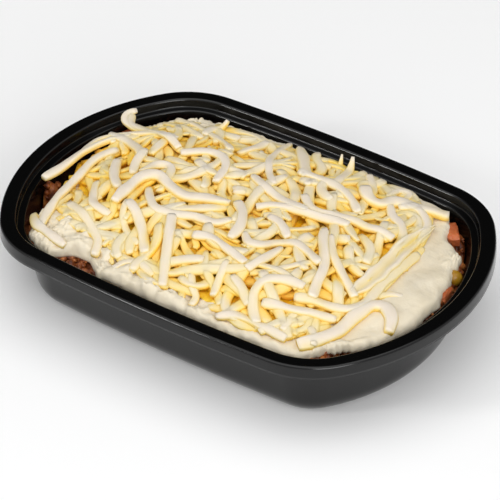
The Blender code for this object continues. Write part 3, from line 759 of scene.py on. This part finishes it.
# Shreds seen in the photo, bottom ones first: width, how far the last end stands up, and places
SEEN_SHREDS = (
    (3.6, 0, (-77, 30), (-82, 31), (-87, 32)),
    (4.2, 2, (-84, 12), (-89, 15), (-93, 17), (-97, 19)),
    (2.5, 0, (-78, -28), (-78, -45), (-75, -54)),
    (4.8, 0, (-85, -47), (-78, -54), (-69, -57), (-57, -60)),
    (4.0, 0, (-93, 38), (-88, 31), (-76, 28), (-62, 25), (-53, 21)),
    (5.0, 0, (-90, 17), (-78, 15), (-68, 10), (-62, 5)),
    (4.6, 0, (-27, 55), (-28, 47), (-31, 37)),
    (4.2, 0, (-76, 50), (-62, 48), (-50, 44), (-40, 40), (-34, 35)),
    (4.8, 4, (-54, 42), (-55, 48), (-53, 53), (-51, 57)),
    (4.0, 0, (-19, 62), (-17, 48), (-14, 38), (-8, 29), (0, 21)),
    (6.0, 0, (-12, 60), (-5, 52), (2, 43), (8, 36)),
    (2.6, 5, (17, 44), (15, 51), (12, 57), (10, 62)),
    (4.8, 6, (22, 38), (20, 47), (18, 56), (16, 62)),
    (4.6, 0, (27, 59), (36, 48), (38, 39), (42, 27)),
    (3.6, 0, (43, 49), (44, 58), (49, 59), (50, 50)),
    (6.5, 2, (33, 46), (38, 41), (44, 41), (49, 48), (58, 51), (71, 58)),
    (4.6, 0, (3, 37), (16, 38), (28, 36), (36, 32), (42, 27)),
    (4.6, 0, (52, 45), (58, 50), (66, 46), (70, 40), (72, 30)),
    (4.6, 0, (48, 44), (54, 37), (61, 33), (66, 26), (67, 18)),
    (4.6, 0, (16, 22), (24, 16), (33, 16), (42, 19), (52, 22), (64, 22)),
    (4.6, 0, (3, 3), (9, 8), (20, 11), (33, 13), (45, 15)),
    (4.6, 0, (-12, 22), (-4, 18), (4, 15), (14, 13), (24, 13)),
    (3.2, 0, (75, 30), (76, 15), (77, 0), (77, -15), (75, -28)),
    (3.4, 0, (78, -13), (82, -7), (88, -5)),
    (6.5, 0, (95, -29), (91, -21), (85, -17), (80, -20), (78, -30), (77, -42), (73, -52), (68, -59)),
    (4.0, 0, (66, -47), (71, -51), (74, -56)),
    (4.6, 0, (28, -63), (36, -58), (48, -58), (62, -59)),
    (4.0, 0, (57, -43), (58, -56)),
    (4.6, 0, (12, 0), (20, -2), (28, -8)),
    (5.0, 0, (-6, 1), (1, -5), (6, -14), (7, -23)),
    (4.5, 0, (-8, -30), (2, -28), (12, -31), (23, -34)),
    (4.0, 0, (15, -36), (17, -44), (20, -54)),
    (4.5, 0, (22, -42), (30, -46), (37, -52)),
    (4.5, 0, (29, -15), (28, -26), (26, -37)),
    (4.5, 0, (43, 3), (50, -6), (58, -12), (66, -17), (72, -21)),
    (5.0, 0, (42, -48), (53, -45), (63, -41), (73, -37)),
    (5.0, 0, (53, -32), (44, -33), (37, -38), (36, -45), (40, -52), (46, -58)),
    (4.8, 0, (76, 24), (76, 10), (76, -5), (77, -19), (73, -29), (62, -34), (52, -38)),
    (8.6, 0, (71, 46), (70, 34), (70, 22), (71, 8), (71, -8), (70, -20)),
    (5.0, 0, (38, 6), (42, -1), (48, -9), (53, -17), (56, -27), (59, -35)),
    (4.6, 0, (10, -16), (16, -21), (21, -19), (25, -13), (32, -10), (42, -12), (50, -16)),
    (3.5, 0, (4, -48), (9, -54), (13, -57), (14, -62)),
    (5.0, 0, (-12, -49), (-4, -44), (5, -40)),
    (4.0, 0, (-29, -61), (-27, -55), (-20, -53), (-11, -56)),
    (5.0, 0, (-47, -26), (-38, -31), (-30, -38), (-22, -47)),
    (3.5, 0, (-48, -26), (-44, -34), (-37, -40), (-28, -44)),
    (4.5, 0, (-73, -36), (-63, -40), (-53, -45), (-46, -50), (-42, -58)),
    (4.5, 0, (-71, -18), (-66, -27), (-60, -34), (-50, -36)),
    (5.0, 0, (-73, 0), (-69, -7), (-64, -14), (-57, -20)),
    (4.5, 0, (-56, -5), (-52, 4), (-46, 5), (-42, -3), (-40, -12)),
    (4.6, 0, (-64, 10), (-62, 0), (-58, -8)),
    (4.5, 0, (-50, 18), (-42, 25), (-33, 26), (-26, 20), (-23, 8)),
    (4.5, 0, (-46, -12), (-40, -19), (-33, -24), (-24, -23), (-15, -19), (-5, -18), (0, -12)),
    (5.0, 0, (-24, -24), (-17, -36), (-10, -48), (-3, -60)),
    (6.0, 0, (-52, -30), (-53, -18), (-52, -8), (-46, -4), (-38, -7), (-28, -9), (-18, -5), (-8, -2)),
)


def heap_top(x, y):
    """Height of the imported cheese, which starts thin at its edge and thickens inwards."""
    rise = CHEESE_RISE * smooth_step(cheese_room(x, y) / CHEESE_SLOPE_WIDTH)
    places = np.stack([x, y], axis=-1)
    swells = [height * near(places, middle, reach) for middle, reach, height in CHEESE_SWELLS]
    limit = MASH_MIDDLE_HEIGHT + CHEESE_EDGE + CHEESE_RISE
    return np.minimum(mash_top(x, y) + CHEESE_EDGE + rise + np.max(swells, axis=0), limit)


def bed_top(places):
    """Height of the settled bed: the heap less a drop that grows inwards, with strand-like ridges."""
    x, y = places[..., 0], places[..., 1]
    room = cheese_room(x, y)
    strands = []
    for seed, (across_x, across_y) in enumerate(((0.2, 1), (1, 0.35), (0.8, -1))):
        lines = np.cos((x * across_x + y * across_y) * 1.3 + 1.6 * rolling(places, 22.0, 50 + seed))
        strands.append(0.5 * lines + 0.9 * rolling(places, 15.0, 60 + seed))
    drop = BED_DROP * smooth_step(room / BED_SLOPE_WIDTH)
    return heap_top(x, y) - drop + 0.7 * np.max(strands, axis=0) * smooth_step(room / 5)


loop, outward = rim_loop(*BED_STEPS)
start = by_direction(CHEESE_OUTLINE, loop[:, 0], loop[:, 1]) + BED_MARGIN + 0.8 * rolling(loop, 8.0, 45)
upper = inward_rings(loop, outward, start, BED_INSETS, BED_SHARES)
lower = inward_rings(loop, outward, start + UNDERSIDE_INSET, BED_INSETS[::6], UNDERSIDE_SHARES)[::-1]
lower[..., 2] = mash_top(lower[..., 0], lower[..., 1]) - BED_SINK
covered = mash_top(upper[..., 0], upper[..., 1]) + mash_relief(upper[..., :2]) + BED_COVER
upper[..., 2] = np.maximum(bed_top(upper[..., :2]), covered)
bed = make_piece("grated_cheese_bed", *closed_rings(np.concatenate([lower, upper])))

cells = [np.arange(-half, half + CELL / 2, CELL) for half in GRID_HALF]
grid = np.stack(np.meshgrid(*cells, indexing="ij"), axis=-1)
grid_x, grid_y = grid[..., 0], grid[..., 1]
grid_inset = edge_distance(grid_x, grid_y)
tray_high = np.interp(grid_inset, *tray_profile.T)
mash_inside = grid_inset - by_direction(MASH_EDGE, grid_x, grid_y)
rounded = np.sqrt(np.clip(1 - (1 - np.clip(mash_inside / MASH_ROUNDING, 0, 1)) ** 2, 0, 1))
mash_full = mash_top(grid_x, grid_y) + mash_relief(grid)
mash_high = np.where(mash_inside > 0, bottom + (mash_full - bottom) * rounded, 0)
bed_high = np.where(cheese_room(grid_x, grid_y) > BED_MARGIN, bed_top(grid), 0)
ground = np.max([tray_high, np.full(grid_x.shape, MINCE_HEIGHT), mash_high, bed_high], axis=0)
inner = smooth_step(cheese_room(grid_x, grid_y) / BORDER_WIDTH)
target = heap_top(grid_x, grid_y) + BORDER_EXTRA - (FILL_DROP + BORDER_EXTRA) * inner
target += 0.8 * rolling(grid, 26.0, 71)
firm = heap_top(grid_x, grid_y) - FIRM_DROP


def cell_of(places):
    """The grid cell that holds each place."""
    index = np.rint((places + GRID_HALF) / CELL).astype(int)
    limit = np.array(ground.shape) - 1
    index = np.clip(index, 0, limit)
    return index[..., 0], index[..., 1]


def path_through(places):
    """A smooth path through places: cubics whose end slopes are half the step between the neighbours.

    A cubic is a (2 t^3 - 3 t^2 + 1) + s (t^3 - 2 t^2 + t) + b (3 t^2 - 2 t^3) + e (t^3 - t^2), from a to
    b with the slopes s and e. Its points are then spaced evenly, a cell apart.
    """
    places = np.array(places, float)
    padded = np.vstack([2 * places[0] - places[1], places, 2 * places[-1] - places[-2]])
    slopes = (padded[2:] - padded[:-2]) / 2
    t = np.linspace(0, 1, 40, endpoint=False)[:, None]
    runs = []
    for a, b, from_slope, to_slope in zip(places[:-1], places[1:], slopes[:-1], slopes[1:]):
        runs.append(a * (2 * t ** 3 - 3 * t ** 2 + 1) + from_slope * (t ** 3 - 2 * t ** 2 + t)
                    + b * (3 * t ** 2 - 2 * t ** 3) + to_slope * (t ** 3 - t ** 2))
    fine = np.vstack(runs + [places[-1:]])
    steps = np.linalg.norm(np.diff(fine, axis=0), axis=1)
    travelled = np.concatenate([[0], np.cumsum(steps)])
    even = np.linspace(0, travelled[-1], max(int(travelled[-1] / CELL), 6) + 1)
    return np.column_stack([np.interp(even, travelled, fine[:, axis]) for axis in (0, 1)])


def smoothed(values, rounds):
    """Values averaged along a path with their neighbours, as (before + 2 here + after) / 4, in rounds."""
    for _ in range(rounds):
        padded = np.pad(values, 1, mode="edge")
        values = (padded[:-2] + 2 * values + padded[2:]) / 4
    return values


def narrowed(end, widths_away):
    """Share of the full width near an end: from the end's own share up to 1 as 1 - (1 - t)^p.

    Here t goes from 0 to 1 over a few widths, and p grows with the end's share, so a wide end is blunt.
    """
    t = np.clip(widths_away / (1 + 3 * (BLUNT - end)), 0, 1)
    return end + (1 - end) * (1 - (1 - t) ** (1 + 2 * end / BLUNT))


def lay_strip(path, width, thickness, lift=0, stiffness=STIFFNESS, ends=(BLUNT, BLUNT), groove=0.0,
              spacing=1.25, sides=STRIP_SIDES, held=(0, 0)):
    """Lay a strip on what is below and raise the ground under it. Returns its rings of points.

    The strip's slope from side to side is the ground's own, and its height is the least that clears the
    ground, less a little that it sinks in, which is more where the heap is already high. It is then
    smoothed along its length and put back up where it would sink, so that it bridges gaps. A held strip's
    underside is never lower than a straight line between its two heights. A lift raises the last third by
    a square. The section is a flattened oval, (|cos a|^p, |sin a|^p) times half the width and thickness,
    less a groove along its top of exp(-(3 cos a)^2).
    """
    count = len(path)
    along = np.gradient(path, axis=0)
    along /= np.linalg.norm(along, axis=1, keepdims=True)
    across = np.column_stack([-along[:, 1], along[:, 0]])
    share = np.linspace(0, 1, count)
    widths_along = share * (count - 1) * CELL / width
    blunt = narrowed(ends[0], widths_along) * narrowed(ends[1], widths_along[::-1])
    half = width / 2 * blunt * (1 + WANDER * rolling(path, WANDER_LENGTH, count))
    deep = thickness / 2 * (0.72 + 0.28 * blunt)
    offsets = np.linspace(-1, 1, 7)
    beneath = path[:, None] + across[:, None] * offsets[:, None] * (half * 0.9)[:, None, None]
    below = ground[cell_of(beneath)]
    slope = (below * offsets).sum(axis=1) / (offsets ** 2).sum() / half
    slope = smoothed(np.clip(slope, -STEEPEST, STEEPEST), TILT_ROUNDS)
    rest = (below - slope[:, None] * offsets * half[:, None]).max(axis=1) - SINK
    rest -= 0.5 * np.clip(rest - firm[cell_of(path)], 0, 4)
    rest = smoothed(np.maximum(rest, np.linspace(*held, count)), REST_ROUNDS)
    height = rest
    for _ in range(stiffness):
        height = np.maximum(rest, smoothed(height, 1))
    height = smoothed(height, HEIGHT_ROUNDS)
    near_end = np.clip(1 - (1 - share) * 3, 0, 1)
    middle = height + deep + lift * near_end ** 2
    spread = np.linspace(-1, 1, 2 * int(width / 2 / CELL) + 5)
    footprint = path[:, None] + across[:, None] * spread[:, None] * half[:, None, None]
    surface = (middle[:, None] + slope[:, None] * spread * half[:, None]
               + deep[:, None] * np.sqrt(1 - spread ** 2) ** 0.7)
    np.maximum.at(ground, cell_of(footprint), surface)

    kept = np.unique(np.rint(np.linspace(0, count - 1, max(int(count * CELL / spacing), 6))).astype(int))
    centre = np.column_stack([path, middle])[kept]
    forward = np.gradient(centre, axis=0)
    forward /= np.linalg.norm(forward, axis=1, keepdims=True)
    side = np.column_stack([across, slope])[kept]
    side -= forward * (side * forward).sum(axis=1, keepdims=True)
    side /= np.linalg.norm(side, axis=1, keepdims=True)
    upright = np.cross(forward, side)
    turn = np.arange(sides) * 2 * math.pi / sides
    wide = np.sign(np.cos(turn)) * np.abs(np.cos(turn)) ** SECTION_POWER
    high = np.sign(np.sin(turn)) * np.abs(np.sin(turn)) ** SECTION_POWER
    high -= groove * np.exp(-9 * np.cos(turn) ** 2) * (np.sin(turn) > 0)
    rings = (centre[:, None] + side[:, None] * wide[:, None] * half[kept][:, None, None]
             + upright[:, None] * high[:, None] * deep[kept][:, None, None])
    return rings


def loose_path(middle, heading, length, turn, wave, phase):
    """A path about a place whose heading is heading + turn (t - 1/2) + wave sin(2 pi t + phase)."""
    t = np.linspace(0, 1, max(int(length / CELL), 6) + 1)
    headings = heading + turn * (t - 0.5) + wave * np.sin(2 * math.pi * t + phase)
    steps = np.column_stack([np.cos(headings), np.sin(headings)]) * length / (len(t) - 1)
    path = np.cumsum(steps, axis=0)
    return path + middle - path.mean(axis=0)


def lay_loose(draw, lengths, widths, tries, mean_room, least_room):
    """Lay one random strip where the heap is lowest below its target, the best of a few tries."""
    best = None
    best_score = -math.inf
    while best is None or tries > 0:
        tries -= 1
        middle = draw.uniform(-1, 1, 2) * (TRAY_LENGTH / 2, TRAY_WIDTH / 2)
        length = lengths[0] + (lengths[1] - lengths[0]) * draw.random() ** 1.5
        path = loose_path(middle, draw.uniform(0, 2 * math.pi), length, draw.normal(0, LOOSE_TURN),
                          draw.normal(0, LOOSE_WAVE), draw.uniform(0, 2 * math.pi))
        inside = cheese_room(path[:, 0], path[:, 1])
        if inside.min() < least_room or inside.mean() < mean_room:
            continue
        score = (target - ground)[cell_of(path)].mean()
        if score > best_score:
            best = path
            best_score = score
    width = draw.uniform(*widths)
    thickness = width * draw.uniform(*LOOSE_THICKNESS)
    ends = draw.uniform(*LOOSE_ENDS, 2)
    stiffness = int(draw.integers(*LOOSE_STIFFNESS))
    return lay_strip(best, width, thickness, 0, stiffness, ends, spacing=LOOSE_SPACING, sides=LOOSE_SIDES)


draw = np.random.default_rng(FILL_SEED)
fill_rings = [lay_loose(draw, *FILL_STRIPS) for _ in range(FILL_COUNT)]
bit_rings = [lay_loose(draw, *LOW_BITS) for _ in range(LOW_BIT_COUNT)]
seen_rings = []
for width, start_height, end_height, *places in HELD_SHREDS:
    seen_rings.append(lay_strip(path_through(places), width, width * HELD_THICKNESS,
                                held=(start_height, end_height)))
for width, lift, *places in SEEN_SHREDS:
    path = path_through(places)
    if width > RIBBON_WIDTH:
        rings = lay_strip(path, width, width * RIBBON_THICKNESS, lift, ends=RIBBON_ENDS,
                          groove=RIBBON_GROOVE, sides=RIBBON_SIDES)
    else:
        ends = draw.uniform(*SEEN_ENDS, 2)
        if lift > TALL_LIFT:
            ends = TALL_ENDS
        rings = lay_strip(path, width, width * SEEN_THICKNESS, lift, ends=ends)
    seen_rings.append(rings)
bit_rings += [lay_loose(draw, *TOP_BITS) for _ in range(TOP_BIT_COUNT)]


def mark_tone_and_shade_depth(piece, extra, tones):
    """Store on a piece each point's tone and its depth below the heap's skyline plus an extra, which sets
    painted shade.
    """
    places = np.empty(len(piece.data.vertices) * 3, np.float32)
    piece.data.vertices.foreach_get("co", places)
    places = places.reshape(-1, 3) / MM
    # Depth below the skyline, which the cheese's painted shade follows
    depths = skyline[cell_of(places[:, :2])] - places[:, 2] + extra
    for label, values in (("tone", tones), ("depth", depths)):
        layer = piece.data.attributes.new(label, "FLOAT", "POINT")
        layer.data.foreach_set("value", values.astype(np.float32))


def shred_piece(name, all_rings, draw, less_shade=0.0):
    """One joined mesh of strips, with how deep each point lies in the heap and a tone for each strip.

    A strip's flanks count as deeper than its top, so they are painted more golden as shade, standing in for
    light that has come through more cheese.
    """
    piece = make_piece(name, *joined([closed_rings(rings) for rings in all_rings]))
    sizes = [rings.shape[0] * rings.shape[1] + 2 for rings in all_rings]
    flanks = []
    for rings in all_rings:
        count, around = rings.shape[:2]
        # Painted shade: the flanks and underside count as deeper, so they turn more golden
        flank = 1 - np.clip(np.sin(np.arange(around) * 2 * math.pi / around), 0, 1)
        flanks.append(np.append(np.tile(flank, count), (0.5, 0.5)))
    tones = np.repeat(draw.random(len(sizes)), sizes)
    mark_tone_and_shade_depth(piece, FLANK_SHADE_DEPTH * np.concatenate(flanks) - less_shade, tones)
    return piece


def softened(heights, reach):
    """A height field averaged over a square of cells, one axis after the other."""
    for axis in (0, 1):
        padded = np.pad(heights, [(reach, reach) if own == axis else (0, 0) for own in (0, 1)], mode="edge")
        total = np.cumsum(padded, axis=axis)
        total = np.insert(total, 0, 0, axis=axis)
        span = 2 * reach + 1
        upper = np.take(total, range(span, total.shape[axis]), axis=axis)
        lower = np.take(total, range(0, total.shape[axis] - span), axis=axis)
        heights = (upper - lower) / span
    return heights


def local_top(heights, reach):
    """The greatest height within a square of cells about each, found one axis after the other."""
    for axis in (0, 1):
        heights = np.max([np.roll(heights, step, axis) for step in range(-reach, reach + 1)], axis=0)
    return heights


skyline = softened(softened(local_top(ground, SKY_REACH), SKY_REACH), SKY_REACH)
# The bed counts as deeper than it lies, so it is painted more golden as shade
mark_tone_and_shade_depth(bed, BED_SHADE_DEPTH, np.zeros(len(bed.data.vertices)))
shred_pieces = [
    shred_piece("cheese_shreds_below", fill_rings[:FILL_BELOW], draw),
    shred_piece("cheese_shreds_middle", fill_rings[FILL_BELOW:], draw),
    # The shreds on top count as higher, so their colour is painted paler, as light on top
    shred_piece("cheese_shreds_on_top", seen_rings, draw, TOP_LESS_SHADE),
    shred_piece("cheese_bits", bit_rings, draw),
]

# Mild hard cheese, pushed through a grater: pale faces with a dull sheen. The colour deepens to gold with
# depth as painted shade, which stands in for light that has come through other strips and turned yellow
cheese, tree, shader = new_material("grated_mild_cheese", {
    "Roughness": 0.45, "IOR": 1.45, "Subsurface Weight": 0.3, "Subsurface Scale": 0.0015,
    "Subsurface Radius": (1.0, 0.9, 0.75)})
depth = add_node(tree, "Attribute", {"attribute_name": "depth"}).outputs["Fac"]
tone = add_node(tree, "Attribute", {"attribute_name": "tone"}).outputs["Fac"]
sunk = add_node(tree, "MapRange", {}, {"Value": depth, "From Max": PAINTED_GOLD_DEPTH})
# Painted shade: pale where a point is at the skyline, deepening to gold below it
painted_gold_shades = add_node(tree, "ValToRGB", {}, {"Fac": sunk.outputs["Result"]})
painted_gold_shades.color_ramp.elements[0].color = paint("#e7dbca")
painted_gold_shades.color_ramp.elements[1].color = paint("#f8c01c")
for position, code in ((0.16, "#ebdab0"), (0.34, "#f0d37e"), (0.58, "#f6cb46")):
    painted_gold_shades.color_ramp.elements.new(position).color = paint(code)
paler = add_node(tree, "Math", {"operation": "MULTIPLY"}, {0: tone, 1: TONE_SHARE})
colours = add_node(tree, "Mix", {"data_type": "RGBA"}, {
    "Factor": paler.outputs["Value"], FIRST_COLOUR: painted_gold_shades.outputs["Color"],
    SECOND_COLOUR: paint("#ebdcb4")})
tree.links.new(colours.outputs[MIXED_COLOUR], shader.inputs["Base Color"])
add_grain(tree, shader, size=2, detail=3, strength=0.25, depth=0.3)
for piece in (*shred_pieces, bed):
    piece.data.materials.append(cheese)
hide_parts("grated_cheese")


# The floor, the lights and the camera
# A pale matt sheet under one large overhead soft light, with weaker ones from the front left and the
# right. The room is evenly lit, except that it is dim in the direction that the rim mirrors.
DARK_SIDE = (-0.46, 0.66, 0.595)
DIM_FROM = 0.45
DIM_FULLY = 0.85
ROOM_GLOW = 0.6
DIM_GLOW = 0.02
FLOOR_HALF = 4000.0
CAMERA_PLACE = (0.62944, -0.89252, 0.83486)
CAMERA_DOWN = math.radians(36.55)
CAMERA_TURN = math.radians(35.12)
CAMERA_LENS = 216
CAMERA_SENSOR = 36
CAMERA_REACH = 20

# Square soft lights: name, place and size in metres, and power
SOFT_LIGHTS = (
    ("overhead", (0.0, -0.1, 1.6), 2.0, 14),
    ("front_left", (-0.95, -1.5, 0.95), 0.3, 7),
    ("right", (1.3, -0.9, 0.8), 1.0, 13),
)

floor_points = np.array([(-1, -1, 0), (1, -1, 0), (1, 1, 0), (-1, 1, 0)]) * FLOOR_HALF
floor_mesh = bpy.data.meshes.new("floor")
floor_mesh.from_pydata((floor_points * MM).tolist(), [], [(0, 1, 2, 3)])
floor = bpy.data.objects.new("floor", floor_mesh)
bpy.context.scene.collection.objects.link(floor)
paper, tree, shader = new_material("pale_matt_paper", {"Base Color": paint("#fbfbfb"), "Roughness": 0.9})
floor_mesh.materials.append(paper)

world = bpy.data.worlds.new("dim_room")
world.use_nodes = True
tree = world.node_tree
towards = add_node(tree, "TexCoord").outputs["Generated"]
facing = add_node(tree, "VectorMath", {"operation": "DOT_PRODUCT"}, {0: towards, 1: DARK_SIDE})
glow = add_node(tree, "MapRange", {}, {
    "Value": facing.outputs["Value"], "From Min": DIM_FROM, "From Max": DIM_FULLY,
    "To Min": ROOM_GLOW, "To Max": DIM_GLOW})
tree.nodes["Background"].inputs["Color"].default_value = (1.0, 1.0, 1.0, 1.0)
tree.links.new(glow.outputs["Result"], tree.nodes["Background"].inputs["Strength"])
bpy.context.scene.world = world


def add_soft_light(name, place, size, power):
    """A square area light, turned to face the middle of the floor: tilted by atan2(across, up)."""
    lamp = bpy.data.lights.new(name, "AREA")
    lamp.shape = "SQUARE"
    lamp.size = size
    lamp.energy = power
    light = bpy.data.objects.new(name, lamp)
    bpy.context.scene.collection.objects.link(light)
    light.location = place
    x, y, up = place
    light.rotation_euler = (math.atan2(math.hypot(x, y), up), 0, math.atan2(x, -y))


for light_values in SOFT_LIGHTS:
    add_soft_light(*light_values)

camera_data = bpy.data.cameras.new("camera")
camera_data.lens = CAMERA_LENS
camera_data.sensor_width = CAMERA_SENSOR
camera_data.clip_end = CAMERA_REACH
camera = bpy.data.objects.new("camera", camera_data)
bpy.context.scene.collection.objects.link(camera)
camera.location = CAMERA_PLACE
camera.rotation_euler = (math.pi / 2 - CAMERA_DOWN, 0, CAMERA_TURN)
bpy.context.scene.camera = camera
bpy.context.scene.view_settings.view_transform = "Standard"
